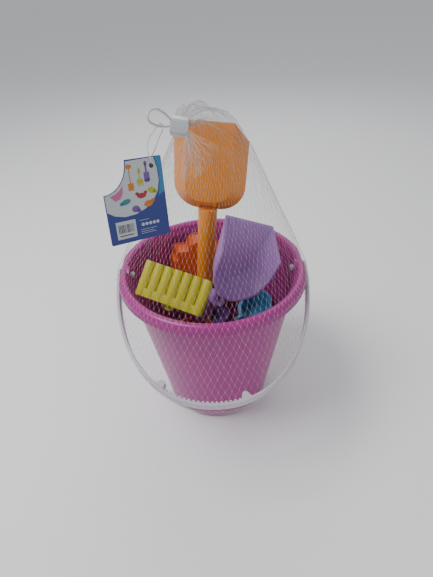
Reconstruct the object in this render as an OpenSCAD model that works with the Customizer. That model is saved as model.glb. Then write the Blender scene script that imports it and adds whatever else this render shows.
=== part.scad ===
// Sand bucket set: a toy bucket with its bail, three sand tools, five sand moulds, a net bag
// closed by a clip, and a hang tag on a string. Millimetres, +Z up. The origin is the centre of
// the bucket's base on the table. -Y is the side the bail hangs on.

/* [Bucket] */
// Height from the table to the top of the lip
bucket_h = 177; // [165:1:190]
// Outer radius of the lip
lip_r = 95; // [92:0.5:98]
// Width of the rolled lip, seen from above
lip_w = 9.4; // [8:0.1:11]
// Depth of the skirt that hangs from the lip
skirt_h = 12; // [10:0.5:15]
// Outer radius of the base
base_r = 57.5; // [54:0.5:60]
// Wall thickness
wall = 2.2; // [1.8:0.1:2.6]
// Height of the foot ring under the floor
foot_h = 3; // [2:0.5:4]

/* [Bail] */
// Height of the bail's pivot above the table
pivot_z = 167; // [160:0.5:170]
// Depth of the arch, from the pivot to its crown
arch_depth = 141; // [134:1:146]
// Angle of the hanging bail, away from straight down
bail_angle = 70; // [55:1:75]
// Width of the strap, across the arch
strap_w = 12; // [10:0.5:13]
// Thickness of the strap
strap_t = 2.8; // [2:0.1:3.2]
// Radius of the pivot pegs
peg_r = 3; // [2.5:0.1:3.5]
// Length of the ribbed grip
grip_l = 78; // [60:1:90]

/* [Spade] */
// Length from the end of the grip to the edge of the blade
spade_l = 306; // [295:1:312]
// Width of the blade
blade_w = 68; // [60:1:72]
// Height of the blade
blade_h = 86; // [76:1:92]
// Depth of the blade's side walls
blade_d = 15; // [10:1:18]
// Radius of the shaft
shaft_r = 9.2; // [8:0.1:10]

/* [Rake and scoop] */
// Number of teeth on the rake
teeth = 7; // [5:1:7]
// Distance between the rake's teeth
tooth_pitch = 9.8; // [9.6:0.1:10.2]
// Length of the rake's teeth
tooth_l = 34; // [28:1:38]
// Width of the scoop
scoop_w = 74; // [66:1:78]
// Length of the scoop's blade
scoop_l = 84; // [76:1:90]
// Depth of the scoop's blade
scoop_d = 24; // [20:1:30]

/* [Net and tag] */
// Thickness of the net's envelope
net_t = 0.7; // [0.5:0.1:1.2]
// Width of the hang tag
tag_w = 50; // [46:1:54]
// Height of the hang tag
tag_h = 61; // [56:1:66]
// Thickness of the hang tag
tag_t = 0.8; // [0.6:0.1:1.2]

/* [Hidden] */

lip_in = lip_r - lip_w;
skirt_z = bucket_h - skirt_h;
skirt_t = 2.4;
bead_h = 5;
bead_z = bucket_h - bead_h;
body_top_r = lip_r - 10;
corner_r = 7;
flat_x = lip_r - 3.8;
ear_r = 9;
peg_play = 0.08;

arch_x = lip_r + 0.8;
arch_power = 2.2;
boss_r = 7;
peg_gap = 0.5;
grip_x = -13;
fin_h = 6;

spade_foot = [-20, 6, 9];
spade_turn = [-3.2, 4.4, -9];
blade_lean = 13;
rake_place = [-42.6, -51.5, 168];
rake_turn = [-43.8, 8, -23.7];
rake_handle_l = 74;
scoop_place = [12, -25, 166];
scoop_turn = [-1, 28, 25];
scoop_bend = 22;
scoop_handle_l = 58;
mould_wall = 1.6;

clip_place = [-20, -11, 318];
clip_turn = [0, 12, 0];
loop_r = 0.9;
string_r = 0.5;
tag_top = [-34.8, -36, 305.5];
tag_turn = [-15, 7, 33];
tag_hole = [-8, -5];
tag_notch = [20, 23];

function arc(cx, cy, rx, ry, a0, a1, n = 8) =
    [for (i = [0:n]) let (a = a0 + (a1 - a0) * i / n) [cx + rx * cos(a), cy + ry * sin(a)]];

function body_r(z) = base_r + (body_top_r - base_r) * z / skirt_z;

// Half of the strap's outer or inner edge is a superellipse, inset by t.
function arch_point(s, t) =
    [(arch_x - t) * sign(cos(s)) * pow(abs(cos(s)), 2 / arch_power),
     -(arch_depth - t) * pow(abs(sin(s)), 2 / arch_power)];

function arch_edge(t, n = 48) = [for (i = [0:n]) arch_point(180 * i / n, t)];

// Bucket.
module bucket_profile() {
    lip_mid = (lip_r + lip_in) / 2;
    low = corner_r + foot_h;
    inner_low = foot_h + wall + corner_r;
    polygon(concat(
        [[0, foot_h], [base_r - 9, foot_h], [base_r - 7.5, 0]],
        arc(body_r(low) - corner_r, corner_r, corner_r, corner_r, -90, -8),
        [[body_top_r, skirt_z], [body_top_r + 0.6, bead_z - 1], [lip_r - skirt_t, bead_z - 1],
         [lip_r - skirt_t, skirt_z], [lip_r - 0.5, skirt_z], [lip_r, skirt_z + 0.8]],
        arc(lip_mid, bead_z, lip_w / 2, bead_h, 0, 180, 12),
        [[body_top_r - wall, skirt_z - 2]],
        arc(body_r(inner_low) - wall - corner_r, inner_low, corner_r, corner_r, -8, -90),
        [[0, foot_h + wall]]));
}

module ear_pads() {
    for (side = [-1, 1])
        intersection() {
            translate([side * (body_top_r - wall - 0.5), 0, pivot_z])
                rotate([0, side * 90, 0])
                    cylinder(r = ear_r, h = flat_x - body_top_r + wall + 0.5, $fn = 48);
            translate([0, 0, skirt_z / 2])
                cylinder(r = lip_r, h = bead_z - skirt_z / 2, $fn = 160);
        }
}

module bucket() {
    color("orchid")
        difference() {
            union() {
                rotate_extrude($fn = 160) bucket_profile();
                ear_pads();
            }
            // flats that let the bail pass the lip
            for (side = [-1, 1])
                translate([side * (flat_x + lip_r), 0, bucket_h])
                    cube([2 * lip_r, 2 * lip_r, 60], center = true);
            translate([0, 0, pivot_z])
                rotate([0, 90, 0])
                    cylinder(r = peg_r + peg_play, h = 3 * lip_r, center = true, $fn = 48);
            translate([0, 0, pivot_z - ear_r - 8])
                cylinder(r1 = body_r(pivot_z - ear_r - 8) - wall, r2 = body_top_r - wall,
                         h = ear_r + 8 - pivot_z + skirt_z + 6, $fn = 160);
        }
}

// Bail.
module strap_outline() {
    polygon(concat(arch_edge(0), [for (i = [48:-1:0]) arch_edge(strap_t)[i]]));
}

// Puts its children on the strap's inner face at x, with their own +Y towards the pivots.
module on_strap(x) {
    s = acos(pow(abs(x) / arch_x, arch_power / 2) * sign(x));
    ahead = arch_point(s - 1, strap_t) - arch_point(s + 1, strap_t);
    translate(arch_point(s, strap_t))
        rotate([0, 0, atan2(ahead[1], ahead[0])]) children();
}

module grip_ribs() {
    count = 19;
    pitch = grip_l / count;
    for (i = [0:count - 1])
        on_strap(grip_x + (i - (count - 1) / 2) * pitch)
            cube([pitch * 0.5, 2.6, strap_w - 1], center = true);
}

module grip_fins() {
    for (side = [-1, 1])
        on_strap(grip_x + side * grip_l / 2)
            translate([0, 0, 1 - strap_w / 2])
                linear_extrude(strap_w - 2)
                    polygon([[-6, -0.8], [6, -0.8], [1.5, fin_h], [-1.5, fin_h]]);
}

module pegs() {
    head_x = body_top_r - wall - 0.6;
    for (side = [-1, 1])
        translate([side * arch_x, 0, 0])
            rotate([0, -side * 90, 0]) {
                cylinder(r = boss_r, h = strap_t, $fn = 48);
                cylinder(r = peg_r, h = arch_x - head_x + 1.4, $fn = 48);
                translate([0, 0, arch_x - head_x])
                    cylinder(r1 = peg_r + 1.1, r2 = peg_r - 0.4, h = 2.4, $fn = 48);
            }
}

module bail() {
    color("ghostwhite")
        translate([0, 0, pivot_z])
            rotate([90 - bail_angle, 0, 0]) {
                linear_extrude(strap_w, center = true) strap_outline();
                grip_ribs();
                grip_fins();
                pegs();
            }
}

// Spade.
module blade_outline(width, height, inset) {
    r = width * 0.36;
    offset(delta = -inset)
        hull() {
            for (side = [-1, 1])
                translate([side * (width / 2 - r), r]) circle(r, $fn = 40);
            translate([-width / 2, height - 4]) square([width, 4]);
        }
}

// The space that the blade takes up, its face to -Y; the inset and rise make the hollow's space.
module blade_form(inset, rise) {
    slab = 0.6;
    hull() {
        translate([0, slab, blade_lean])
            rotate([90, 0, 0])
                linear_extrude(slab)
                    blade_outline(blade_w - 2 * blade_lean, blade_h - blade_lean + rise, inset);
        translate([0, blade_d, 0])
            rotate([90, 0, 0]) linear_extrude(slab) blade_outline(blade_w, blade_h * 0.78 + rise, inset);
    }
}

module spade_blade() {
    difference() {
        blade_form(0, 0);
        translate([0, wall, 0]) blade_form(wall * 0.55, 6);
    }
}

module d_grip() {
    half = 27;
    rotate([90, 0, 0])
        translate([0, 0, -6])
            linear_extrude(12)
                difference() {
                    hull() {
                        for (side = [-1, 1])
                            translate([side * (half - 6), 6]) circle(6, $fn = 32);
                        translate([0, 56]) circle(9, $fn = 32);
                    }
                    hull() {
                        for (side = [-1, 1])
                            translate([side * (half - 15), 15]) circle(4, $fn = 32);
                        translate([0, 40]) circle(3, $fn = 32);
                    }
                }
}

module spade() {
    blade_z = spade_l - blade_h;
    color("darkorange")
        translate(spade_foot)
            rotate(spade_turn) {
                d_grip();
                translate([0, 0, 48]) cylinder(r1 = shaft_r - 0.8, r2 = shaft_r, h = blade_z - 44, $fn = 48);
                translate([0, -shaft_r + 1, blade_z]) spade_blade();
            }
}

// Rake.
module rake_handle() {
    translate([0, 3, 2]) rotate([-90, 0, 0]) {
        cylinder(r1 = 7, r2 = 4.8, h = 18, $fn = 40);
        cylinder(r = 4.8, h = 34, $fn = 40);
        translate([0, 0, 32]) cylinder(r1 = 4.8, r2 = 7.5, h = 8, $fn = 40);
        translate([0, 0, 40]) cylinder(r = 7.5, h = rake_handle_l - 48, $fn = 40);
        translate([0, 0, rake_handle_l - 8]) sphere(r = 7.5, $fn = 40);
    }
}

module rake() {
    head_w = teeth * tooth_pitch + 1;
    color("yellow")
        translate(rake_place)
            rotate(rake_turn) {
                translate([3 - head_w / 2, -4, 0]) cube([head_w - 6, 8, 8]);
                for (i = [0:teeth - 1])
                    translate([(i - (teeth - 1) / 2) * tooth_pitch, 0, 0])
                        cylinder(r = tooth_pitch / 2 + 0.05, h = tooth_l, $fn = 32);
                rake_handle();
            }
}

// Scoop.
module scoop_shape(inset, lift) {
    r_back = 22;
    hull() {
        translate([0, -scoop_d + lift, 0])
            rotate([90, 0, 0])
                linear_extrude(1 + 2 * lift)
                    offset(delta = -inset)
                        hull() {
                            translate([-scoop_w / 2, scoop_l - 24]) square([scoop_w, 2]);
                            translate([0, 30]) circle(scoop_w / 2 - 2, $fn = 40);
                            for (side = [-1, 1])
                                translate([side * (scoop_w / 2 - 15), scoop_l - 14])
                                    circle(14, $fn = 32);
                        }
        translate([0, -inset, 0])
            rotate([90, 0, 0])
                linear_extrude(1)
                    offset(delta = -inset)
                        hull() {
                            translate([0, r_back + 6]) circle(r_back, $fn = 40);
                            for (side = [-1, 1])
                                translate([side * (scoop_w / 2 - 22), scoop_l - 14])
                                    circle(14, $fn = 32);
                        }
    }
}

module scoop_blade() {
    difference() {
        scoop_shape(0, 0);
        scoop_shape(2, 1.2);
        translate([-scoop_w / 2 + 16, -scoop_d - 4, scoop_l - 22])
            cube([scoop_w - 32, scoop_d + 2, 40]);
        // the walls fall away towards the front edge
        translate([-scoop_w, -scoop_d - 2, scoop_l * 0.5])
            rotate([-44, 0, 0]) translate([0, -60, 0]) cube([2 * scoop_w, 60, 90]);
    }
}

module scoop_handle() {
    rotate([180 + scoop_bend, 0, 0]) {
        translate([0, 0, -6]) cylinder(r1 = 6, r2 = 5, h = 16, $fn = 40);
        translate([0, 0, 8]) sphere(r = 6.6, $fn = 40);
        cylinder(r = 4.6, h = 22, $fn = 40);
        translate([0, 0, 18]) cylinder(r1 = 11, r2 = 8, h = 6, $fn = 40);
        translate([0, 0, 23]) cylinder(r = 8, h = scoop_handle_l - 31, $fn = 40);
        translate([0, 0, scoop_handle_l - 8]) sphere(r = 8, $fn = 40);
    }
}

module scoop() {
    color("mediumpurple")
        translate(scoop_place)
            rotate(scoop_turn) {
                translate([0, 6, 0]) scoop_blade();
                scoop_handle();
            }
}

// Moulds.
module mould(height) {
    difference() {
        union() {
            linear_extrude(height, scale = 0.86) children();
            linear_extrude(mould_wall) offset(r = 1.8) children();
        }
        translate([0, 0, -0.01])
            linear_extrude(height - mould_wall, scale = 0.86) offset(delta = -mould_wall) children();
    }
}

module turtle_outline() {
    offset(r = 4, $fn = 24) {
        square([44, 36], center = true);
        translate([0, 22]) circle(7, $fn = 24);
        for (side = [-1, 1]) translate([side * 22, 0]) square([10, 14], center = true);
    }
}

module crab_outline() {
    offset(r = 2, $fn = 24) {
        scale([1, 0.72]) circle(20, $fn = 40);
        for (side = [-1, 1]) {
            translate([side * 17, 11]) circle(6.5, $fn = 24);
            translate([side * 16, -9]) circle(5, $fn = 24);
        }
    }
}

module fish_outline() {
    offset(r = 2, $fn = 24) {
        scale([1, 0.6]) circle(23, $fn = 40);
        translate([-24, 0]) polygon([[-5, 10], [-5, -10], [8, 0]]);
        translate([2, 10]) circle(5, $fn = 24);
    }
}

module star_outline() {
    offset(r = 4, $fn = 24)
        for (i = [0:4])
            rotate(72 * i) polygon([[-9, 0], [0, 24], [9, 0], [0, -6]]);
}

module flower_outline() {
    circle(14, $fn = 32);
    for (i = [0:5])
        rotate(60 * i) translate([14, 0]) circle(8, $fn = 24);
}

module turtle_mould() {
    color("orange")
        translate([-17, 61, 139]) rotate([76, 0, 3]) mould(20) turtle_outline();
}

module crab_mould() {
    color("red")
        translate([-27, -24, 110]) rotate([180, 0, 30]) mould(18) crab_outline();
}

module fish_mould() {
    color("deepskyblue")
        translate([45, 2, 118]) rotate([180, 0, 66]) mould(20) fish_outline();
}

module star_mould() {
    color("gold")
        translate([6, -27, 29]) rotate([180, 0, 12]) mould(20) star_outline();
}

module flower_mould() {
    color("mediumorchid")
        translate([-5, 40, 72]) rotate([180, 0, 0]) mould(22) flower_outline();
}

// Net bag.
// The net is pulled tight over the lip, the bail and the spade: grow sets how far outside them.
module net_form(grow) {
    hull() {
        translate([0, 0, 1 - grow]) cylinder(r = body_r(1.5) + grow, h = 1, $fn = 64);
        translate([0, 0, corner_r]) cylinder(r = body_r(corner_r + 3) + grow, h = 1, $fn = 64);
        translate([0, 0, skirt_z]) cylinder(r = lip_r + grow, h = skirt_h - 4, $fn = 64);
        translate([0, 0, bead_z]) cylinder(r1 = lip_r + grow, r2 = lip_r - 4 + grow,
                                           h = bead_h + grow, $fn = 64);
        translate([0, 0, pivot_z]) {
            rotate([0, 90, 0]) cylinder(r = boss_r + grow, h = 2 * (arch_x + grow), center = true, $fn = 32);
            rotate([90 - bail_angle, 0, 0])
                linear_extrude(strap_w + 2 * grow, center = true) polygon(arch_edge(-grow, 24));
        }
        translate(spade_foot)
            rotate(spade_turn)
                for (edge = [[spade_l - 1, 2 - shaft_r, 4], [spade_l - blade_h * 0.22, -0.4, 17]])
                    translate([0, edge[1], edge[0]])
                        cube([blade_w + 2 * grow, edge[2] + 2 * grow, 2 + 2 * grow], center = true);
        translate([4, 32, 318]) sphere(r = 9 + grow, $fn = 24);
        translate([-13, -3, 318]) sphere(r = 3 + grow, $fn = 16);
    }
}

module net() {
    clear = 0.5;
    color("white", 0.4) {
        difference() {
            net_form(clear + net_t);
            net_form(clear);
            translate([0, 0, -20]) cylinder(r = 2 * base_r, h = 21.2, $fn = 64);
        }
        // the loose tail of the net below the clip
        hull() {
            translate([-16, -14, 312]) sphere(r = 3, $fn = 16);
            translate([-20, -28, 292]) sphere(r = 2.5, $fn = 16);
            translate([2, -28, 292]) sphere(r = 2.5, $fn = 16);
            translate([-9, -36, 282]) sphere(r = 2.5, $fn = 16);
        }
    }
}

module net_clip() {
    color("white")
        translate(clip_place)
            rotate(clip_turn) {
                cube([13, 7, 14], center = true);
                for (side = [-1, 1])
                    translate([0, side * 3, 0]) cube([14.4, 1.6, 9], center = true);
            }
}

// Loop, string and tag.
function unit(v) = v / norm(v);

function tangent(path, i) =
    unit(path[min(i + 1, len(path) - 1)] - path[max(i - 1, 0)]);

function smooth_point(p, i, t) =
    let (a = p[max(i - 1, 0)], b = p[i], c = p[i + 1], d = p[min(i + 2, len(p) - 1)])
    0.5 * (2 * b + (c - a) * t + (2 * a - 5 * b + 4 * c - d) * t * t + (3 * b - a - 3 * c + d) * pow(t, 3));

function smooth_path(p, steps) =
    concat([for (i = [0:len(p) - 2], k = [0:steps - 1]) smooth_point(p, i, k / steps)], [p[len(p) - 1]]);

module cord(points, radius, side_dir, steps = 3) {
    path = smooth_path(points, steps);
    sides = 8;
    last = len(path) - 1;
    rings = [for (i = [0:last])
                let (t = tangent(path, i), u = unit(cross(side_dir, t)), v = cross(t, u))
                for (k = [0:sides - 1])
                    path[i] + radius * (cos(360 * k / sides) * u + sin(360 * k / sides) * v)];
    skin = [for (i = [0:last - 1], k = [0:sides - 1])
                let (a = i * sides + k, b = i * sides + (k + 1) % sides)
                [a, a + sides, b + sides, b]];
    polyhedron(rings, concat(skin, [[for (k = [0:sides - 1]) k]],
                             [[for (k = [sides - 1:-1:0]) last * sides + k]]));
}

loop_route = [[-25.9, -11, 323.4], [-28.2, -12, 326.6], [-30.6, -16, 330.4], [-34.8, -22, 335.2],
              [-39.4, -26, 335.4], [-41.4, -29.5, 332], [-39.9, -29.6, 328], [-35.2, -24, 323.4],
              [-31, -17, 320.4], [-28.9, -12.6, 319.2], [-26.9, -11, 318.8]];
string_route = [[-40.6, -43.8, 303.4], [-42, -43.4, 307.6], [-43.6, -38.6, 312.6], [-41.9, -32.5, 317.5],
                [-38.6, -26.6, 320.6], [-35.9, -22, 322.9], [-34.2, -21.6, 324.5], [-32.2, -21.6, 323.2],
                [-31.9, -23.4, 320.6], [-33.2, -27, 318.2], [-35.9, -31.2, 314.6], [-38.2, -34, 309.6],
                [-40.9, -35.4, 305.4], [-42.5, -39.8, 301.9], [-41.2, -41.7, 301.7],
                [-40.2, -43.2, 301.9]];

module carry_loop() {
    color("white") cord(loop_route, loop_r, [0, 1, 0]);
}

module tag_string() {
    color("white") cord(string_route, string_r, [1, 0, 0]);
}

// The outline's origin is the tag's top right corner.
module tag_outline() {
    difference() {
        translate([-tag_w, -tag_h]) square([tag_w, tag_h]);
        translate([-tag_w, 0]) scale([1, tag_notch[1] / tag_notch[0]]) circle(tag_notch[0], $fn = 48);
        translate(tag_hole) circle(2.5, $fn = 32);
    }
}

module hang_tag() {
    color("royalblue")
        translate(tag_top)
            rotate(tag_turn)
                rotate([90, 0, 0])
                    linear_extrude(tag_t, center = true) tag_outline();
}

bucket();
bail();
spade();
rake();
scoop();
turtle_mould();
crab_mould();
fish_mould();
star_mould();
flower_mould();
net();
net_clip();
carry_loop();
tag_string();
hang_tag();
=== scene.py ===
import math
import random

import bmesh
import bpy
import numpy as np
from mathutils import Euler, Matrix, Vector
from mathutils.bvhtree import BVHTree


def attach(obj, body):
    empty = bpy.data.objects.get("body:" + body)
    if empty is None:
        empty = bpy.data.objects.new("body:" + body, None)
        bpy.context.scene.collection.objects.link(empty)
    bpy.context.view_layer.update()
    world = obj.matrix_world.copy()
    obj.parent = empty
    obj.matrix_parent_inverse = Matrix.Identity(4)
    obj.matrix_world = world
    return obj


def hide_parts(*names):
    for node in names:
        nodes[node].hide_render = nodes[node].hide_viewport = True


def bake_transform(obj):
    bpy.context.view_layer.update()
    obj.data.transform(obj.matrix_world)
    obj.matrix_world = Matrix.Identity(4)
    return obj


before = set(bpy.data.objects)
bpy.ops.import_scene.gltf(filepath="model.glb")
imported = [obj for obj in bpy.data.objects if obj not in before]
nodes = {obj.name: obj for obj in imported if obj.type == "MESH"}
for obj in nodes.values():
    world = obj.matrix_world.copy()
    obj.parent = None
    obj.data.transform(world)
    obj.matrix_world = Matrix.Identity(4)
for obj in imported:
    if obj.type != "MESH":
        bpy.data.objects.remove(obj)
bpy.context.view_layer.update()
mm = 0.001
print("frame loaded")


view = {
    "place": (0.0035, -0.359, 0.4297),
    "pitch": 51.5,
    "roll": -2.65,
    "lens": 27.0,
}


def makeCamera():
    camera = bpy.data.objects.new("camera", bpy.data.cameras.new("camera"))
    camera.data.lens = view["lens"]
    camera.data.clip_start = 0.01
    turn = Matrix.Rotation(math.radians(view["pitch"]), 4, "X") @ Matrix.Rotation(
        math.radians(view["roll"]), 4, "Z")
    camera.matrix_world = Matrix.Translation(view["place"]) @ turn
    bpy.context.collection.objects.link(camera)
    bpy.context.scene.camera = camera


studio = {
    # place, aim, size and power of each soft box
    "keyLight": ((-0.55, -0.12, 1.15), (0, 0, 0.15), 0.5, 10.5),
    "fillLight": ((0.8, -0.9, 0.7), (0, 0, 0.12), 0.9, 1.4),
    "backLight": ((0.1, 0.9, 0.9), (0, 0, 0.2), 0.8, 3),
}
surroundings = {"color": (0.93, 0.95, 1.0), "strength": 0.50, "floorHalf": 30, "floorColor": (0.93, 0.93, 0.93),
                "floorRoughness": 0.9}


def areaLight(name, place, aim, size, power):
    data = bpy.data.lights.new(name, "AREA")
    data.size = size
    data.energy = power
    light = bpy.data.objects.new(name, data)
    light.location = place
    light.rotation_euler = (Vector(aim) - Vector(place)).to_track_quat("-Z", "Y").to_euler()
    bpy.context.collection.objects.link(light)


def makeStudio():
    for name, (place, aim, size, power) in studio.items():
        areaLight(name, place, aim, size, power)
    around = surroundings
    world = bpy.data.worlds.new("studio")
    world.use_nodes = True
    background = world.node_tree.nodes["Background"]
    background.inputs["Color"].default_value = (*around["color"], 1)
    background.inputs["Strength"].default_value = around["strength"]
    bpy.context.scene.world = world
    half = around["floorHalf"]
    corners = [(-half, -half, 0), (half, -half, 0), (half, half, 0), (-half, half, 0)]
    floor = meshObject("studioFloor", corners, [(0, 1, 2, 3)])
    floor.data.materials.append(plainMaterial("floorPaper", around["floorColor"], around["floorRoughness"]))


def meshObject(name, points, faces, smooth=False):
    mesh = bpy.data.meshes.new(name)
    mesh.from_pydata([tuple(p) for p in points], [], [tuple(f) for f in faces])
    mesh.update()
    if smooth:
        mesh.shade_smooth()
    made = bpy.data.objects.new(name, mesh)
    bpy.context.collection.objects.link(made)
    return made


def ringFaces(ringCount, side, closed=False, start=0):
    faces = []
    for i in range(ringCount - (0 if closed else 1)):
        for k in range(side):
            a = start + i * side + k
            b = start + i * side + (k + 1) % side
            c = start + ((i + 1) % ringCount) * side + (k + 1) % side
            d = start + ((i + 1) % ringCount) * side + k
            faces.append((a, b, c, d))
    return faces


def arcPoints(cx, cz, rx, rz, start, end, count=10):
    angles = [math.radians(start + (end - start) * i / count) for i in range(count + 1)]
    return [(cx + rx * math.cos(a), cz + rz * math.sin(a)) for a in angles]


def joinMeshes(name, parts):
    points, faces = [], []
    for part in parts:
        shift = len(points)
        points += [tuple(p) for p in part[0]]
        faces += [tuple(i + shift for i in face) for face in part[1]]
    return meshObject(name, points, faces, smooth=True)


def finishModifiers(piece):
    # turns the evaluated result into a plain mesh
    bpy.context.view_layer.update()
    shape = bpy.data.meshes.new_from_object(
        piece.evaluated_get(bpy.context.evaluated_depsgraph_get()))
    piece.modifiers.clear()
    piece.data = shape
    return piece


moulding = {"merge": 0.004 * mm, "flatAngle": 0.8, "segments": 3, "edgeAngle": 28, "sharpAngle": 40}


def softened(node, name, edge):
    # a copy of a CAD node with moulded edges in place of sharp ones
    mesh = nodes[node].data.copy()
    work = bmesh.new()
    work.from_mesh(mesh)
    bmesh.ops.remove_doubles(work, verts=work.verts, dist=moulding["merge"])
    bmesh.ops.dissolve_limit(work, angle_limit=math.radians(moulding["flatAngle"]), verts=work.verts,
                             edges=work.edges)
    work.to_mesh(mesh)
    work.free()
    mesh.materials.clear()
    piece = bpy.data.objects.new(name, mesh)
    bpy.context.collection.objects.link(piece)
    bevel = piece.modifiers.new("edges", "BEVEL")
    bevel.width = edge * mm
    bevel.segments = moulding["segments"]
    bevel.limit_method = "ANGLE"
    bevel.angle_limit = math.radians(moulding["edgeAngle"])
    finishModifiers(piece)
    piece.data.shade_smooth()
    piece.data.set_sharp_from_angle(angle=math.radians(moulding["sharpAngle"]))
    return piece


def plainMaterial(name, color, roughness):
    material = bpy.data.materials.new(name)
    material.use_nodes = True
    shader = material.node_tree.nodes["Principled BSDF"]
    shader.inputs["Base Color"].default_value = (*color, 1)
    shader.inputs["Roughness"].default_value = roughness
    return material


def link(tree, a, output, b, entry):
    tree.links.new(a.outputs[output], b.inputs[entry])


surface = {
    # scales of the noises, per metre, and how strongly each one shows
    "cloudScale": 22, "scratchScale": 900, "scratchStretch": (1, 1, 0.22), "scratchTurn": (0.5, 0.35, 0.2),
    "scratchFrom": 0.56, "scratchTo": 0.74, "scratchRoughness": 0.35, "grainScale": 1400, "sinkScale": 60,
    "sinkDepth": 6, "bumpStrength": 0.35, "bumpDistance": 0.00012,
}


def noiseNode(tree, scale, detail, source, output):
    noise = tree.nodes.new("ShaderNodeTexNoise")
    noise.inputs["Scale"].default_value = scale
    noise.inputs["Detail"].default_value = detail
    link(tree, source, output, noise, "Vector")
    return noise


def mathNode(tree, operation, first, second, third=None):
    # each entry is a plain number or an output socket
    node = tree.nodes.new("ShaderNodeMath")
    node.operation = operation
    for socket, value in zip(node.inputs, (first, second, third)):
        if isinstance(value, bpy.types.NodeSocket):
            tree.links.new(value, socket)
        elif value is not None:
            socket.default_value = value
    return node


def mouldedGroup():
    # colour clouds, moulding grain and fine scuffs, used by every plastic
    tree = bpy.data.node_groups.new("mouldedPlastic", "ShaderNodeTree")
    face = tree.interface
    for name, kind, value in (("Color", "NodeSocketColor", (1, 1, 1, 1)),
                              ("Deep color", "NodeSocketColor", (1, 1, 1, 1)),
                              ("Roughness", "NodeSocketFloat", 0.4),
                              ("Scuffs", "NodeSocketFloat", 0.5),
                              ("Grain", "NodeSocketFloat", 0.5)):
        socket = face.new_socket(name, in_out="INPUT", socket_type=kind)
        socket.default_value = value
    for name, kind in (("Color", "NodeSocketColor"), ("Roughness", "NodeSocketFloat"),
                       ("Normal", "NodeSocketVector")):
        face.new_socket(name, in_out="OUTPUT", socket_type=kind)
    n = tree.nodes
    enter = n.new("NodeGroupInput")
    leave = n.new("NodeGroupOutput")
    place = n.new("ShaderNodeTexCoord")

    clouds = noiseNode(tree, surface["cloudScale"], 3, place, "Object")
    mixColor = n.new("ShaderNodeMix")
    mixColor.data_type = "RGBA"
    link(tree, clouds, "Fac", mixColor, "Factor")
    link(tree, enter, "Deep color", mixColor, 6)
    link(tree, enter, "Color", mixColor, 7)
    link(tree, mixColor, 2, leave, "Color")

    stretch = n.new("ShaderNodeMapping")
    stretch.inputs["Scale"].default_value = surface["scratchStretch"]
    stretch.inputs["Rotation"].default_value = surface["scratchTurn"]
    link(tree, place, "Object", stretch, "Vector")
    scratch = noiseNode(tree, surface["scratchScale"], 2, stretch, "Vector")
    scratchMask = n.new("ShaderNodeMapRange")
    scratchMask.inputs["From Min"].default_value = surface["scratchFrom"]
    scratchMask.inputs["From Max"].default_value = surface["scratchTo"]
    link(tree, scratch, "Fac", scratchMask, "Value")
    scuffed = mathNode(tree, "MULTIPLY", scratchMask.outputs["Result"], enter.outputs["Scuffs"])
    rougher = mathNode(tree, "MULTIPLY_ADD", scuffed.outputs[0], surface["scratchRoughness"],
                       enter.outputs["Roughness"])
    link(tree, rougher, 0, leave, "Roughness")

    grain = noiseNode(tree, surface["grainScale"], 2, place, "Object")
    sink = noiseNode(tree, surface["sinkScale"], 1, place, "Object")
    relief = mathNode(tree, "MULTIPLY_ADD", sink.outputs["Fac"], surface["sinkDepth"], grain.outputs["Fac"])
    amount = mathNode(tree, "MULTIPLY", relief.outputs[0], enter.outputs["Grain"])
    bump = n.new("ShaderNodeBump")
    bump.inputs["Strength"].default_value = surface["bumpStrength"]
    bump.inputs["Distance"].default_value = surface["bumpDistance"]
    link(tree, amount, 0, bump, "Height")
    link(tree, bump, "Normal", leave, "Normal")
    return tree


plastics = {
    "bucketPink": {"color": (0.39, 0.024, 0.235), "deep": (0.33, 0.019, 0.20), "rough": 0.33},
    "bailWhite": {"color": (0.56, 0.52, 0.58), "deep": (0.50, 0.46, 0.52), "rough": 0.36},
    "spadeOrange": {"color": (0.80, 0.26, 0.0), "deep": (0.74, 0.23, 0.0), "rough": 0.36},
    "rakeYellow": {"color": (0.47, 0.42, 0.0), "deep": (0.43, 0.37, 0.0), "rough": 0.38},
    "scoopPurple": {"color": (0.37, 0.18, 0.48), "deep": (0.32, 0.15, 0.42), "rough": 0.36},
    "turtleOrange": {"color": (0.50, 0.065, 0.002), "deep": (0.44, 0.05, 0.002), "rough": 0.38},
    "crabRed": {"color": (0.36, 0.014, 0.012), "deep": (0.30, 0.010, 0.010), "rough": 0.38},
    "fishBlue": {"color": (0.03, 0.17, 0.33), "deep": (0.025, 0.14, 0.28), "rough": 0.38},
    "starYellow": {"color": (0.55, 0.28, 0.004), "deep": (0.50, 0.24, 0.003), "rough": 0.38},
    "flowerViolet": {"color": (0.14, 0.04, 0.22), "deep": (0.11, 0.03, 0.18), "rough": 0.38},
    "clipWhite": {"color": (0.62, 0.64, 0.65), "deep": (0.57, 0.59, 0.61), "rough": 0.26},
    "cordWhite": {"color": (0.60, 0.60, 0.61), "deep": (0.54, 0.54, 0.56), "rough": 0.33},
}


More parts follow.
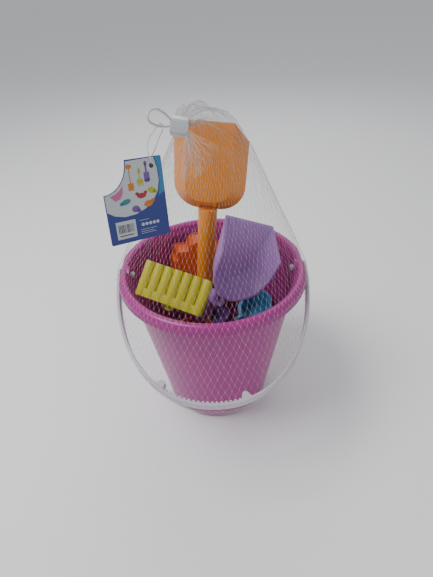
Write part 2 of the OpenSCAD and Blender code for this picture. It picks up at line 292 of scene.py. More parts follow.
def plasticMaterial(name, group, shadeSpot=None):
    look = plastics[name]
    material = bpy.data.materials.new(name)
    material.use_nodes = True
    tree = material.node_tree
    shader = tree.nodes["Principled BSDF"]
    moulded = tree.nodes.new("ShaderNodeGroup")
    moulded.node_tree = group
    moulded.inputs["Color"].default_value = (*look["color"], 1)
    moulded.inputs["Deep color"].default_value = (*look["deep"], 1)
    moulded.inputs["Roughness"].default_value = look["rough"]
    moulded.inputs["Scuffs"].default_value = 0.5
    moulded.inputs["Grain"].default_value = 0.6
    link(tree, moulded, "Roughness", shader, "Roughness")
    link(tree, moulded, "Normal", shader, "Normal")
    shader.inputs["Subsurface Weight"].default_value = 0.12
    shader.inputs["Subsurface Scale"].default_value = 0.004
    shader.inputs["Subsurface Radius"].default_value = (1.0, 0.6, 0.6)
    shader.inputs["Specular IOR Level"].default_value = 0.45
    if shadeSpot is None:
        link(tree, moulded, "Color", shader, "Base Color")
    else:
        # blends a round spot of painted shade into the base colour at the given place
        place = tree.nodes.new("ShaderNodeTexCoord")
        away = tree.nodes.new("ShaderNodeVectorMath")
        away.operation = "DISTANCE"
        away.inputs[1].default_value = shadeSpot["place"]
        link(tree, place, "Object", away, 0)
        spot = tree.nodes.new("ShaderNodeMapRange")
        spot.inputs["From Min"].default_value = shadeSpot["radius"] * 1.25
        spot.inputs["From Max"].default_value = shadeSpot["radius"] * 0.7
        link(tree, away, "Value", spot, "Value")
        blot = tree.nodes.new("ShaderNodeMix")
        blot.data_type = "RGBA"
        blot.inputs[7].default_value = (*shadeSpot["color"], 1)
        link(tree, spot, "Result", blot, "Factor")
        tree.links.new(moulded.outputs["Color"], blot.inputs[6])
        tree.links.new(blot.outputs[2], shader.inputs["Base Color"])
    return material


bucket = {
    "height": 177 * mm, "lipRadius": 95 * mm, "lipWidth": 9.4 * mm, "skirt": 12 * mm,
    "baseRadius": 57.5 * mm, "wall": 2.2 * mm, "foot": 3 * mm, "corner": 7 * mm,
    "skirtWall": 2.4 * mm, "bead": 5 * mm, "flat": 91.2 * mm, "segments": 192, "slope": 12,
    "pivot": 167 * mm, "ear": 9 * mm, "earRoot": 83.6 * mm, "earEdge": 0.8 * mm, "earHole": 3.3 * mm,
    "earDepth": 2 * mm, "earSteps": 40, "sharpAngle": 50,
}
# a small dark spot painted on the lip's top: painted shade standing in for a small pit that is not modelled
lipPitShade = {"place": (-0.0235, -0.0862, 0.1768), "radius": 1.7 * mm, "color": (0.10, 0.008, 0.05)}


def bucketProfile():
    b = bucket
    skirtZ = b["height"] - b["skirt"]
    top = b["lipRadius"] - 10 * mm
    beadZ = b["height"] - b["bead"]
    lipMid = b["lipRadius"] - b["lipWidth"] / 2

    def bodyRadius(z):
        return b["baseRadius"] + (top - b["baseRadius"]) * z / skirtZ

    low = b["corner"] + b["foot"]
    innerLow = b["foot"] + b["wall"] + b["corner"]
    outline = [(0.0, b["foot"]), (b["baseRadius"] - 9.4 * mm, b["foot"])]
    outline += [(b["baseRadius"] - 8.6 * mm, b["foot"] - 0.5 * mm), (b["baseRadius"] - 7.9 * mm, 0.5 * mm),
                (b["baseRadius"] - 7.2 * mm, 0.0)]
    outline += arcPoints(bodyRadius(low) - b["corner"], b["corner"], b["corner"], b["corner"], -90, -8)
    rise = b["slope"]
    startZ = outline[-1][1]
    outline += [(bodyRadius(startZ + (skirtZ - startZ) * i / rise),
                 startZ + (skirtZ - startZ) * i / rise) for i in range(1, rise)]
    outline += [(top, skirtZ), (top + 0.3 * mm, beadZ - 2.2 * mm)]
    outline += arcPoints(top + 1.6 * mm, beadZ - 2.2 * mm, 1.2 * mm, 1.2 * mm, 180, 90, 4)
    outline += [(b["lipRadius"] - b["skirtWall"] - 0.8 * mm, beadZ - 1 * mm)]
    outline += [(b["lipRadius"] - b["skirtWall"], beadZ - 1.8 * mm)]
    outline += [(b["lipRadius"] - b["skirtWall"], skirtZ + 0.6 * mm)]
    outline += arcPoints(b["lipRadius"] - b["skirtWall"] / 2, skirtZ + 0.9 * mm,
                         b["skirtWall"] / 2, 0.9 * mm, 180, 360, 8)
    outline += arcPoints(lipMid, beadZ, b["lipWidth"] / 2, b["bead"], 0, 180, 22)
    outline += arcPoints(top - b["wall"] + 1.6 * mm, skirtZ + 1 * mm, 1.6 * mm, 3 * mm, 150, 180, 4)
    inner = arcPoints(bodyRadius(innerLow) - b["wall"] - b["corner"], innerLow, b["corner"], b["corner"],
                      -8, -90)
    endZ = inner[0][1]
    fromZ = outline[-1][1]
    outline += [(bodyRadius(fromZ + (endZ - fromZ) * i / rise) - b["wall"],
                 fromZ + (endZ - fromZ) * i / rise) for i in range(1, rise)]
    outline += inner + [(0.0, b["foot"] + b["wall"])]
    return outline


def makeBucket(material):
    b = bucket
    outline = bucketProfile()
    count = b["segments"]
    points = [(0, 0, outline[0][1]), (0, 0, outline[-1][1])]
    rings = outline[1:-1]
    for r, z in rings:
        for k in range(count):
            a = 2 * math.pi * k / count
            x = r * math.cos(a)
            if z > b["height"] - b["skirt"] - 1 * mm:
                x = max(-b["flat"], min(b["flat"], x))
            points.append((x, r * math.sin(a), z))
    faces = ringFaces(len(rings), count, start=2)
    last = 2 + (len(rings) - 1) * count
    faces += [(0, 2 + (k + 1) % count, 2 + k) for k in range(count)]
    faces += [(1, last + k, last + (k + 1) % count) for k in range(count)]
    parts = [(points, faces)]
    # the ears that carry the bail's pegs
    edge, step = b["earEdge"], b["earSteps"]
    rims = [(b["earRoot"], b["ear"]), (b["flat"] - edge, b["ear"]), (b["flat"], b["ear"] - edge),
            (b["flat"], b["earHole"]), (b["flat"] - b["earDepth"], b["earHole"] - 0.2 * mm)]
    for side in (-1, 1):
        ear = []
        for x, r in rims:
            ear += [(side * x, r * math.cos(2 * math.pi * k / step),
                     b["pivot"] + r * math.sin(2 * math.pi * k / step)) for k in range(step)]
        skin = ringFaces(len(rims), step)
        skin += [tuple(range(step))[::-1], tuple((len(rims) - 1) * step + k for k in range(step))]
        if side < 0:
            skin = [face[::-1] for face in skin]
        parts.append((ear, skin))
    piece = joinMeshes("bucketShell", parts)
    fixNormals(piece)
    piece.data.set_sharp_from_angle(angle=math.radians(b["sharpAngle"]))
    piece.data.materials.append(material)
    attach(piece, "bucket")
    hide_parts("bucket")
    return piece


def fixNormals(piece):
    work = bmesh.new()
    work.from_mesh(piece.data)
    bmesh.ops.recalc_face_normals(work, faces=work.faces)
    work.to_mesh(piece.data)
    work.free()


bail = {
    "halfWidth": 95.8 * mm, "depth": 141 * mm, "power": 2.2, "strap": 12 * mm, "thick": 2.8 * mm,
    "angle": 70, "pivot": 167 * mm, "gripMiddle": -13 * mm, "gripLength": 78 * mm, "ribs": 19,
    "boss": 7 * mm, "peg": 3 * mm, "steps": 160, "samples": 4000, "edge": 0.9 * mm,
    "ribHigh": 1.3 * mm, "ribFill": 0.27, "ribEdge": 0.6 * mm, "ribInset": 0.5 * mm, "finInset": 1 * mm,
    "finOutline": [(-6, -0.8), (6, -0.8), (4.2, 1.2), (2.4, 4.6), (1.3, 5.8), (0, 6.1), (-1.3, 5.8),
                   (-2.4, 4.6), (-4.2, 1.2)],
    "headX": 82 * mm, "headEnd": 79.8 * mm, "pegSteps": 32, "sharpAngle": 45,
}


def archPoint(s, inset):
    b = bail
    c, t = math.cos(s), math.sin(s)
    x = (b["halfWidth"] - inset) * math.copysign(abs(c) ** (2 / b["power"]), c)
    return Vector((x, -(b["depth"] - inset) * abs(t) ** (2 / b["power"]), 0))


def archAt(x):
    c = math.copysign((abs(x) / bail["halfWidth"]) ** (bail["power"] / 2), x)
    s = math.acos(c)
    step = 0.01
    along = (archPoint(s - step, 0) - archPoint(s + step, 0)).normalized()
    return archPoint(s, bail["thick"]), along


def roundedSection(halfA, halfB, radius, corner=3):
    points = []
    for sx, sy, start in ((1, 1, 0), (-1, 1, 90), (-1, -1, 180), (1, -1, 270)):
        points += arcPoints(sx * (halfA - radius), sy * (halfB - radius), radius, radius,
                            start, start + 90, corner)
    return points


def acrossStrap(x, outline, inset):
    # a bar of the outline's shape, standing on the strap's inner face
    at, along = archAt(x)
    inward = Vector((-along.y, along.x, 0))
    half = bail["strap"] / 2 - inset
    solid = []
    for z in (-half, half):
        solid += [at + along * u + inward * v + Vector((0, 0, z)) for u, v in outline]
    n = len(outline)
    return solid, ringFaces(2, n) + [tuple(range(n)), tuple(range(n, 2 * n))]


def makeBail(material):
    b = bail
    section = roundedSection(b["thick"] / 2, b["strap"] / 2, b["edge"])
    points, side = [], len(section)
    # even steps along the arch
    count = b["samples"]
    fine = [archPoint(math.pi * i / count, b["thick"] / 2) for i in range(count + 1)]
    run = np.concatenate([[0], np.cumsum([(fine[i + 1] - fine[i]).length for i in range(count)])])
    path = [fine[int(np.searchsorted(run, run[-1] * i / b["steps"]).clip(0, count))]
            for i in range(b["steps"] + 1)]
    for i, p in enumerate(path):
        ahead = (path[min(i + 1, b["steps"])] - path[max(i - 1, 0)]).normalized()
        out = Vector((ahead.y, -ahead.x, 0))
        for u, v in section:
            points.append(p + out * u + Vector((0, 0, v)))
    faces = ringFaces(len(path), side)
    faces += [tuple(range(side)), tuple((len(path) - 1) * side + k for k in range(side))]
    parts = [(points, faces)]
    # ribs of the grip
    pitch = b["gripLength"] / b["ribs"]
    rib = roundedSection(pitch * b["ribFill"], b["ribHigh"], b["ribEdge"], 2)
    for i in range(b["ribs"]):
        x = b["gripMiddle"] + (i - (b["ribs"] - 1) / 2) * pitch
        parts.append(acrossStrap(x, rib, b["ribInset"]))
    # finger fins at the grip's ends
    fin = [(u * mm, v * mm) for u, v in b["finOutline"]]
    for end in (-1, 1):
        parts.append(acrossStrap(b["gripMiddle"] + end * b["gripLength"] / 2, fin, b["finInset"]))
    # bosses, pegs and their snap heads
    out, inside, tiny = b["halfWidth"], b["halfWidth"] - b["thick"], 0.1 * mm
    rims = [(out, tiny), (out, b["boss"] - 0.7 * mm), (out - 0.2 * mm, b["boss"] - 0.2 * mm),
            (out - 0.9 * mm, b["boss"]), (inside + 0.4 * mm, b["boss"]), (inside, b["boss"] - 0.5 * mm),
            (inside, b["peg"]), (b["headX"], b["peg"]), (b["headX"] - tiny, b["peg"] + 1.1 * mm),
            (b["headEnd"], b["peg"] - 0.4 * mm), (b["headEnd"] - tiny, tiny)]
    step = b["pegSteps"]
    for end in (-1, 1):
        solid = []
        for x, r in rims:
            solid += [(end * x, r * math.cos(2 * math.pi * k / step), r * math.sin(2 * math.pi * k / step))
                      for k in range(step)]
        skin = ringFaces(len(rims), step)
        skin += [tuple(range(step)), tuple((len(rims) - 1) * step + k for k in range(step))]
        parts.append((solid, skin))
    piece = joinMeshes("bailStrap", parts)
    turn = Matrix.Translation((0, 0, b["pivot"])) @ Matrix.Rotation(math.radians(90 - b["angle"]), 4, "X")
    piece.data.transform(turn)
    fixNormals(piece)
    piece.data.set_sharp_from_angle(angle=math.radians(b["sharpAngle"]))
    piece.data.materials.append(material)
    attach(piece, "bail")
    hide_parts("bail")
    return piece


fromCad = {
    "spade": ("spadeBody", "spadeOrange", "spade_orange", 1.0),
    "rake": ("rakeBody", "rakeYellow", "rake_yellow", 0.8),
    "scoop": ("scoopBody", "scoopPurple", "scoop_purple", 0.8),
    "turtle_mould": ("turtleMould", "turtleOrange", "turtle_orange", 0.6),
    "crab_mould": ("crabMould", "crabRed", "crab_red", 0.6),
    "fish_mould": ("fishMould", "fishBlue", "fish_blue", 0.6),
    "star_mould": ("starMould", "starYellow", "star_yellow", 0.6),
    "flower_mould": ("flowerMould", "flowerViolet", "flower_violet", 0.6),
    "net_clip": ("netClip", "clipWhite", "clip_white", 0.7),
}


def makeFromCad(group):
    for node, (name, look, slotName, edge) in fromCad.items():
        piece = softened(node, name, edge)
        piece.data.materials.append(plasticMaterial(look, group))
        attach(piece, "bucket")
        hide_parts(node)
        print("made", name)


net = {
    "columns": 112, "rows": 70, "topZ": 300 * mm, "bottomZ": 2.0 * mm, "gap": 0.7 * mm,
    "radius": 0.05 * mm, "knot": (2.4, 2.4), "knotHalf": 0.8 * mm, "neckRows": 14, "bulge": 17 * mm,
    "mouth": (-15.5 * mm, -7.0 * mm, 320 * mm), "mouthRadius": 3.0 * mm, "baseRows": 5, "seed": 7,
    "flat": (0.18, 0.40), "levels": 110, "rays": 360, "reach": 0.3, "middle": (0.004, -0.008, 0.020),
    "baseHole": 0.003, "recess": 0.047, "recessZ": 2.2 * mm, "footZ": 0.35 * mm, "shake": 0.35 * mm,
}


def netHull():
    # what the net is stretched over
    work = bmesh.new()
    for node in ("bucket", "bail", "spade", "scoop", "rake"):
        work.from_mesh(nodes[node].data)
    hull = bmesh.ops.convex_hull(work, input=work.verts, use_existing_faces=False)
    inside = [v for v in work.verts if not v.link_faces or v in hull["geom_interior"]]
    bmesh.ops.delete(work, geom=inside, context="VERTS")
    tree = BVHTree.FromBMesh(work)
    work.free()
    return tree


def netSurface():
    # columns of points, evenly spaced round the envelope and then along it
    tree = netHull()
    n = net
    levels = np.linspace(n["bottomZ"], n["topZ"], n["levels"])
    rays = n["rays"]
    leanX, startY, leanY = n["middle"]
    rings = []
    for z in levels:
        s = z / n["topZ"]
        middle = Vector((leanX * s, startY + leanY * s, z))
        ring = []
        for k in range(rays + 1):
            a = math.pi / 2 + 2 * math.pi * k / rays
            out = Vector((math.cos(a), math.sin(a), 0))
            hit = tree.ray_cast(middle + out * n["reach"], -out)[0]
            ring.append(hit + out * n["gap"])
        ring = np.array(ring)
        run = np.concatenate([[0], np.cumsum(np.linalg.norm(np.diff(ring, axis=0), axis=1))])
        want = np.linspace(0, run[-1], 2 * n["columns"] + 1)[:-1]
        rings.append(np.stack([np.interp(want, run, ring[:, i]) for i in range(3)], 1))
    rings = np.array(rings)
    columns = []
    for c in range(2 * n["columns"]):
        line = rings[:, c]
        run = np.concatenate([[0], np.cumsum(np.linalg.norm(np.diff(line, axis=0), axis=1))])
        want = np.linspace(0, run[-1], n["rows"] + 1)
        columns.append(np.stack([np.interp(want, run, line[:, i]) for i in range(3)], 1))
    return np.array(columns)


def netGrid():
    # adds the gathered neck at the top and the gathered base below
    n = net
    columns = netSurface()
    rnd = np.random.default_rng(n["seed"])
    mouth = np.array(n["mouth"])
    whole = []
    for c in range(2 * n["columns"]):
        line = columns[c]
        a = math.pi / 2 + 2 * math.pi * c / (2 * n["columns"])
        foot = line[0]
        base = []
        for i in range(n["baseRows"]):
            s = i / n["baseRows"]
            r = n["baseHole"] + (np.hypot(foot[0], foot[1]) - n["baseHole"]) * s
            height = n["recessZ"] if r < n["recess"] else n["footZ"]
            base.append([math.cos(a) * r, math.sin(a) * r, height])
        mouthShape = np.array([math.cos(a) * 0.5, math.sin(a) * 0.6, math.sin(a) * 1.6])
        goal = mouth + n["mouthRadius"] * mouthShape
        neck = []
        start = line[-1]
        folds = 0.10 * math.sin(5 * a + 1) + 0.07 * math.sin(11 * a)
        lift = n["bulge"] * (0.78 + 0.22 * math.sin(a) + folds)
        for i in range(1, n["neckRows"] + 1):
            s = i / n["neckRows"]
            p = start + (goal - start) * (s ** 1.15)
            p = p + np.array([0.0, 0.0, lift * math.sin(math.pi * min(1, s * 1.02)) ** 0.8])
            neck.append(p)
        whole.append(np.concatenate([base, line, neck]))
    whole = np.array(whole)
    shake = rnd.normal(0, n["shake"], whole.shape)
    shake[:, : n["baseRows"] + 2] = 0
    shake[:, -3:] *= 0.4
    return whole + shake


def netStrands(grid):
    # every strand zigzags from knot to knot, half of them leaning each way
    n = net
    rows = grid.shape[1]
    span = 2 * n["columns"]
    strands, weights = [], []
    for family in (1, -1):
        for s in range(n["columns"]):
            strands.append([grid[(2 * s + family * row) % span, row] for row in range(rows)])
            weights.append([1.0] * rows)
    for s in range(n["columns"]):
        for row in range(1, rows - 1):
            c = (2 * s + row) % span
            up = grid[c, row + 1] - grid[c, row - 1]
            up = up / max(np.linalg.norm(up), 1e-9) * n["knotHalf"]
            p = grid[c, row]
            strands.append([p - up, p + up])
            weights.append(n["knot"])
    return strands, weights


def tubeTree(name, material):
    tree = bpy.data.node_groups.new(name, "GeometryNodeTree")
    face = tree.interface
    face.new_socket("Geometry", in_out="INPUT", socket_type="NodeSocketGeometry")
    radius = face.new_socket("Thread radius", in_out="INPUT", socket_type="NodeSocketFloat")
    sides = face.new_socket("Thread sides", in_out="INPUT", socket_type="NodeSocketInt")
    face.new_socket("Geometry", in_out="OUTPUT", socket_type="NodeSocketGeometry")
    n = tree.nodes
    enter, leave = n.new("NodeGroupInput"), n.new("NodeGroupOutput")
    curve = n.new("GeometryNodeMeshToCurve")
    link(tree, enter, "Geometry", curve, "Mesh")
    thick = n.new("GeometryNodeInputNamedAttribute")
    thick.data_type = "FLOAT"
    thick.inputs["Name"].default_value = "thick"
    circle = n.new("GeometryNodeCurvePrimitiveCircle")
    link(tree, enter, "Thread radius", circle, "Radius")
    link(tree, enter, "Thread sides", circle, "Resolution")
    tube = n.new("GeometryNodeCurveToMesh")
    tube.inputs["Fill Caps"].default_value = True
    link(tree, curve, "Curve", tube, "Curve")
    link(tree, circle, "Curve", tube, "Profile Curve")
    link(tree, thick, "Attribute", tube, "Scale")
    real = n.new("GeometryNodeRealizeInstances")
    link(tree, tube, "Mesh", real, "Geometry")
    paint = n.new("GeometryNodeSetMaterial")
    paint.inputs["Material"].default_value = material
    link(tree, real, "Geometry", paint, "Geometry")
    link(tree, paint, "Geometry", leave, "Geometry")
    return tree, radius.identifier, sides.identifier


def threads(name, strands, weights, material, radius, sides=3):
    points, edges, thick = [], [], []
    for line, weight in zip(strands, weights):
        first = len(points)
        points += [tuple(p) for p in line]
        thick += list(weight)
        edges += [(i, i + 1) for i in range(first, len(points) - 1)]
    mesh = bpy.data.meshes.new(name)
    mesh.from_pydata(points, edges, [])
    mesh.attributes.new("thick", "FLOAT", "POINT").data.foreach_set("value", thick)
    piece = bpy.data.objects.new(name, mesh)
    bpy.context.collection.objects.link(piece)
    tree, radiusId, sidesId = tubeTree(name + "Tubes", material)
    modifier = piece.modifiers.new("tubes", "NODES")
    modifier.node_group = tree
    modifier[radiusId] = radius
    modifier[sidesId] = sides
    finishModifiers(piece)
    piece.data.shade_smooth()
    return piece


def yarnMaterial():
    material = bpy.data.materials.new("netYarn")
    material.use_nodes = True
    tree = material.node_tree
    shader = tree.nodes["Principled BSDF"]
    place = tree.nodes.new("ShaderNodeTexCoord")
    noise = tree.nodes.new("ShaderNodeTexNoise")
    noise.inputs["Scale"].default_value = 160
    link(tree, place, "Object", noise, "Vector")
    shade = tree.nodes.new("ShaderNodeMix")
    shade.data_type = "RGBA"
    shade.inputs[6].default_value = (0.42, 0.41, 0.42, 1)
    shade.inputs[7].default_value = (0.72, 0.71, 0.72, 1)
    link(tree, noise, "Fac", shade, "Factor")
    tree.links.new(shade.outputs[2], shader.inputs["Base Color"])
    shader.inputs["Roughness"].default_value = 0.32
    shader.inputs["Sheen Weight"].default_value = 0.2
    return material


tail = {
    # millimetres; the ends fan out from left to right and rise on the right
    "strands": 90, "start": (-14.5, -12.5, 313.5), "seed": 3, "steps": 12, "wave": 0.9, "left": -26, "span": 34,
    "front": -30, "bow": 5, "low": 282, "rise": 22, "riseFrom": 0.45, "thicker": 1.05,
}


def tailLine(rnd, t):
    first = Vector(tail["start"])
    first += Vector((rnd.uniform(-2, 3), rnd.uniform(-2.5, 1.5), rnd.uniform(-3, 3)))
    spread = t + rnd.uniform(-0.12, 0.12)
    rise = tail["rise"] * max(0, spread - tail["riseFrom"]) ** 1.3 * 1.8
    last = Vector((tail["left"] + tail["span"] * spread,
                   tail["front"] - tail["bow"] * math.sin(math.pi * t) + rnd.uniform(-3, 2),
                   tail["low"] + rise + rnd.uniform(-3, 8)))
    bow = Vector((rnd.uniform(-3, 4), rnd.uniform(-6, -1), rnd.uniform(-2, 3)))
    line = []
    for k in range(tail["steps"] + 1):
        s = k / tail["steps"]
        p = first.lerp(last, s) + bow * math.sin(math.pi * s)
        wave = tail["wave"] * (1 if k % 2 else -1) * s
        p += Vector((wave, 0, rnd.uniform(-0.4, 0.4)))
        line.append(p * mm)
    return line


def makeTail(material):
    # the loose end of the net, fanned out below the clip
    rnd = random.Random(tail["seed"])
    count = tail["strands"]
    strands = [tailLine(rnd, i / (count - 1)) for i in range(count)]
    weights = [[1.0] * len(line) for line in strands]
    piece = threads("netTail", strands, weights, material, net["radius"] * tail["thicker"])
    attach(piece, "bucket")
    return piece


def makeNet():
    material = yarnMaterial()
    grid = netGrid()
    strands, weights = netStrands(grid)
    piece = threads("netThreads", strands, weights, material, net["radius"])
    loose = makeTail(material)
    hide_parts("net")
    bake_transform(piece)
    return piece


loopRoute = [(-25.9, -11, 323.4), (-28.2, -12, 326.6), (-30.6, -16, 330.4), (-34.8, -22, 335.2),
             (-39.4, -26, 335.4), (-41.4, -29.5, 332), (-39.9, -29.6, 328), (-35.2, -24, 323.4),
             (-31, -17, 320.4), (-28.9, -12.6, 319.2), (-26.9, -11, 318.8)]
stringRoute = [(-40.6, -43.8, 303.4), (-42, -43.4, 307.6), (-43.6, -38.6, 312.6), (-41.9, -32.5, 317.5),
               (-38.6, -26.6, 320.6), (-35.9, -22, 322.9), (-34.2, -21.6, 324.5), (-32.2, -21.6, 323.2),
               (-31.9, -23.4, 320.6), (-33.2, -27, 318.2), (-35.9, -31.2, 314.6), (-38.2, -34, 309.6),
               (-40.9, -35.4, 305.4), (-42.5, -39.8, 301.9), (-41.2, -41.7, 301.7), (-40.2, -43.2, 301.9)]


cord = {"loopThick": 1.8 * mm, "stringThick": 1.0 * mm}


def smoothRoute(route, steps=6):
    p = [Vector(q) * mm for q in route]
    points = []
    for i in range(len(p) - 1):
        a, b, c, d = p[max(i - 1, 0)], p[i], p[i + 1], p[min(i + 2, len(p) - 1)]
        for k in range(steps):
            t = k / steps
            points.append(0.5 * (2 * b + (c - a) * t + (2 * a - 5 * b + 4 * c - d) * t * t
                                 + (3 * b - a - 3 * c + d) * t ** 3))
    return points + [p[-1]]


def cordPiece(name, route, radius, material, body):
    points = smoothRoute(route)
    curve = bpy.data.curves.new(name, "CURVE")
    curve.dimensions = "3D"
    spline = curve.splines.new("POLY")
    spline.points.add(len(points) - 1)
    for spot, p in zip(spline.points, points):
        spot.co = (*p, 1)
    curve.bevel_depth = radius
    curve.bevel_resolution = 3
    curve.use_fill_caps = True
    curve.materials.append(material)
    piece = bpy.data.objects.new(name, curve)
    bpy.context.collection.objects.link(piece)
    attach(piece, body)
    length = sum((points[i + 1] - points[i]).length for i in range(len(points) - 1))
    print(name, "length", round(length, 4))
    return piece, length


tag = {"corner": (-34.8, -36, 305.5), "turn": (-15, 7, 33), "width": 50, "height": 61, "notch": (20, 23),
       "hole": (-8, -5), "holeRadius": 2.5, "thick": 0.8}


def tagTurn():
    t = tag
    turn = Euler([math.radians(a) for a in t["turn"]], "XYZ").to_matrix().to_4x4()
    upright = Matrix.Rotation(math.radians(90), 4, "X")
    return Matrix.Translation(Vector(t["corner"]) * mm) @ turn @ upright @ Matrix.Scale(mm, 4)


def tagOutline():
    t = tag
    w, h = t["width"], t["height"]
    outline = arcPoints(-1.2, -1.2, 1.2, 1.2, 90, 0, 5) + arcPoints(-1.2, 1.2 - h, 1.2, 1.2, 0, -90, 5)
    outline += arcPoints(1.2 - w, 1.2 - h, 1.2, 1.2, 270, 180, 5)
    outline += arcPoints(-w, 0, t["notch"][0], t["notch"][1], -90, 0, 20)
    return outline


def flatShape(outline, holes, low, high):
    # an outline with holes, as a closed plate between two heights
    work = bmesh.new()
    loops = []
    for loop in [outline] + holes:
        verts = [work.verts.new((x, y, low)) for x, y in loop]
        loops.append([work.edges.new((verts[i], verts[(i + 1) % len(verts)])) for i in range(len(verts))])
    edges = [e for loop in loops for e in loop]
    bmesh.ops.triangle_fill(work, use_beauty=True, use_dissolve=False, edges=edges)
    made = bmesh.ops.extrude_face_region(work, geom=list(work.faces))
    bmesh.ops.translate(work, vec=(0, 0, high - low),
                        verts=[v for v in made["geom"] if isinstance(v, bmesh.types.BMVert)])
    bmesh.ops.recalc_face_normals(work, faces=work.faces)
    work.verts.index_update()
    points = [v.co.copy() for v in work.verts]
    faces = [[v.index for v in f.verts] for f in work.faces]
    work.free()
    return points, faces


def ellipse(cx, cy, rx, ry, turn=0, count=28):
    points = []
    for k in range(count):
        a = 2 * math.pi * k / count
        x, y = rx * math.cos(a), ry * math.sin(a)
        c, s = math.cos(math.radians(turn)), math.sin(math.radians(turn))
        points.append((cx + x * c - y * s, cy + x * s + y * c))
    return points


def bar(x0, y0, x1, y1):
    return [(x0, y0), (x1, y0), (x1, y1), (x0, y1)]


def tagPrint():
    # colour name to the flat shapes printed in it, in the tag's own millimetres
    art = {"printWhite": [], "printSky": [], "printPink": [], "spadeOrange": [],
           "rakeYellow": [], "scoopPurple": [], "crabRed": [], "fishBlue": [], "printGrey": []}
    art["printSky"].append([(-5.5, -0.4), (-1.4, -0.4), (-0.4, -1.4), (-0.4, -27), (-6, -29.5), (-3.6, -20),
                            (-3.4, -10)])
    white = [(-29.6, -1.2), (-6.4, -0.5), (-4.4, -9), (-4.2, -18), (-6.2, -26), (-11, -32.5), (-18, -37.5),
             (-27, -40.5), (-36, -41), (-44, -39), (-49.4, -35.5), (-49.4, -23.8)]
    white += [(-50 + 20.6 * math.cos(math.radians(a)), 23.6 * math.sin(math.radians(a)))
              for a in (-76, -62, -48, -34, -20, -8)]
    art["printWhite"].append(white)
    art["printPink"].append([(-45.5, -24.5), (-41, -23.2), (-36.8, -20.6), (-34.4, -17.8), (-34.8, -23),
                             (-37.4, -27.2), (-41.6, -28.6)])
    # tools
    art["spadeOrange"] += [bar(-28.1, -17.4, -27.3, -6.4), bar(-30, -22.6, -25.4, -17.2),
                           ellipse(-27.7, -5.2, 2.6, 1.7)]
    art["rakeYellow"] += [bar(-20.3, -15.2, -19.2, -9.4), ellipse(-19.7, -9, 1.2, 1.9),
                          bar(-22.4, -18, -17.2, -15.2)]
    art["rakeYellow"] += [bar(-22.2 + i * 1.1, -20, -21.5 + i * 1.1, -17.8) for i in range(5)]
    art["scoopPurple"] += [bar(-14.6, -10.8, -13, -4.6), ellipse(-13.8, -4.4, 1.3, 1.8),
                           bar(-16.2, -17.2, -11.4, -10.8), ellipse(-13.8, -17, 2.4, 1.4)]
    # moulds
    art["spadeOrange"] += [ellipse(-15.4, -34.2, 3.9, 2.4, 8), ellipse(-11.4, -32.2, 1.6, 1.4)]
    art["rakeYellow"] += [ellipse(-11.2, -24.6, 3.6, 2.3, -14), ellipse(-8.4, -26, 1.7, 1.5)]
    art["scoopPurple"] += [ellipse(-26.4, -36.6, 3.3, 2.6), ellipse(-24, -38.2, 1.7, 1.4)]
    art["crabRed"] += [ellipse(-20.2, -27.4, 3.9, 2.1), ellipse(-23.8, -25.6, 1.5, 1.3),
                       ellipse(-16.6, -25.4, 1.5, 1.3)]
    art["fishBlue"] += [ellipse(-33.6, -30.2, 4.0, 2.0, 14), ellipse(-37.4, -31.2, 1.5, 1.3)]
    art["printGrey"] += [ellipse(-8.8, -6.6, 1.9, 1.9)]
    # price label with a bar code of made-up bars
    art["printWhite"].append(bar(-44.6, -57.4, -28.4, -44))
    rnd = random.Random(5)
    x = -42.8
    while x < -30.6:
        width = rnd.choice((0.25, 0.4, 0.65))
        art["printGrey"].append(bar(x, -53, x + width, -46.6))
        x += width + rnd.choice((0.3, 0.45))
    art["printGrey"] += [bar(-42.6, -55.4, -31, -54.6)]
    # lines that stand for small print
    for y, width in ((-45.8, 8), (-53.2, 14), (-54.8, 11), (-56.2, 13)):
        art["printWhite"].append(bar(-25, y - 0.28, -25 + width, y))
    art["printWhite"] += [ellipse(-22.4 + i * 3.2, -49.4, 1.3, 1.3) for i in range(5)]
    return art


cardColors = {
    "printWhite": (0.52, 0.55, 0.56), "printSky": (0.025, 0.20, 0.40), "printNavy": (0.022, 0.042, 0.22),
    "printPink": (0.50, 0.12, 0.28), "printGrey": (0.03, 0.035, 0.045), "spadeOrange": (0.55, 0.19, 0.01),
    "rakeYellow": (0.42, 0.42, 0.01), "scoopPurple": (0.16, 0.08, 0.32), "crabRed": (0.38, 0.025, 0.02),
    "fishBlue": (0.025, 0.20, 0.27),
}


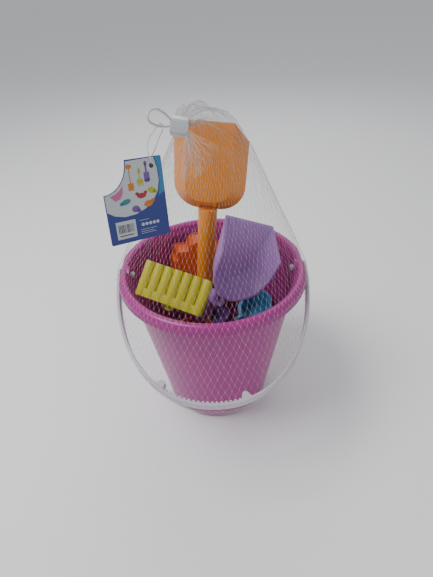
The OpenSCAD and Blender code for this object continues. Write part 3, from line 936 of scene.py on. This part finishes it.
def cardMaterial(name, color):
    # coated card: faint paper fibre under a light gloss
    material = bpy.data.materials.new(name)
    material.use_nodes = True
    tree = material.node_tree
    shader = tree.nodes["Principled BSDF"]
    place = tree.nodes.new("ShaderNodeTexCoord")
    fibre = tree.nodes.new("ShaderNodeTexNoise")
    fibre.inputs["Scale"].default_value = 700
    fibre.inputs["Detail"].default_value = 4
    link(tree, place, "Object", fibre, "Vector")
    shade = tree.nodes.new("ShaderNodeMix")
    shade.data_type = "RGBA"
    shade.inputs[6].default_value = (*[c * 0.86 for c in color], 1)
    shade.inputs[7].default_value = (*[min(1, c * 1.08) for c in color], 1)
    link(tree, fibre, "Fac", shade, "Factor")
    tree.links.new(shade.outputs[2], shader.inputs["Base Color"])
    bump = tree.nodes.new("ShaderNodeBump")
    bump.inputs["Strength"].default_value = 0.15
    bump.inputs["Distance"].default_value = 0.00005
    link(tree, fibre, "Fac", bump, "Height")
    link(tree, bump, "Normal", shader, "Normal")
    shader.inputs["Roughness"].default_value = 0.42
    shader.inputs["Coat Weight"].default_value = 0.15
    return material


def makeTag():
    t = tag
    hole = ellipse(t["hole"][0], t["hole"][1], t["holeRadius"], t["holeRadius"])[::-1]
    points, faces = flatShape(tagOutline(), [hole], -t["thick"] / 2, t["thick"] / 2)
    card = meshObject("tagCard", points, faces)
    card.data.transform(tagTurn())
    card.data.materials.append(cardMaterial("cardNavy", cardColors["printNavy"]))
    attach(card, "tag")
    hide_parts("hang_tag")
    art = tagPrint()
    level = t["thick"] / 2
    points, faces, paints = [], [], []
    for index, name in enumerate(art):
        above = 0.03 if name in ("printWhite", "printSky") else 0.05
        for shape in art[name]:
            part, skin = flatShape(shape, [], level, level + above)
            shift = len(points)
            points += part
            faces += [[i + shift for i in f] for f in skin]
            paints += [index] * len(skin)
    printed = meshObject("tagPrint", points, faces)
    printed.data.transform(tagTurn())
    for name in art:
        printed.data.materials.append(cardMaterial("card_" + name, cardColors[name]))
    printed.data.polygons.foreach_set("material_index", paints)
    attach(printed, "tag")


def makeCords(material):
    loop, loopLength = cordPiece("carryLoop", loopRoute, cord["loopThick"] / 2, material, "bucket")
    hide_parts("carry_loop")
    makeTag()
    string, stringLength = cordPiece("tagString", stringRoute, cord["stringThick"] / 2, material, "tag")
    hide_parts("tag_string")


makeCamera()
makeStudio()
group = mouldedGroup()
makeCords(plasticMaterial("cordWhite", group))
print("cords and tag made")
makeBucket(plasticMaterial("bucketPink", group, lipPitShade))
print("bucket made")
makeBail(plasticMaterial("bailWhite", group))
print("bail made")
makeFromCad(group)
makeNet()
print("net made")
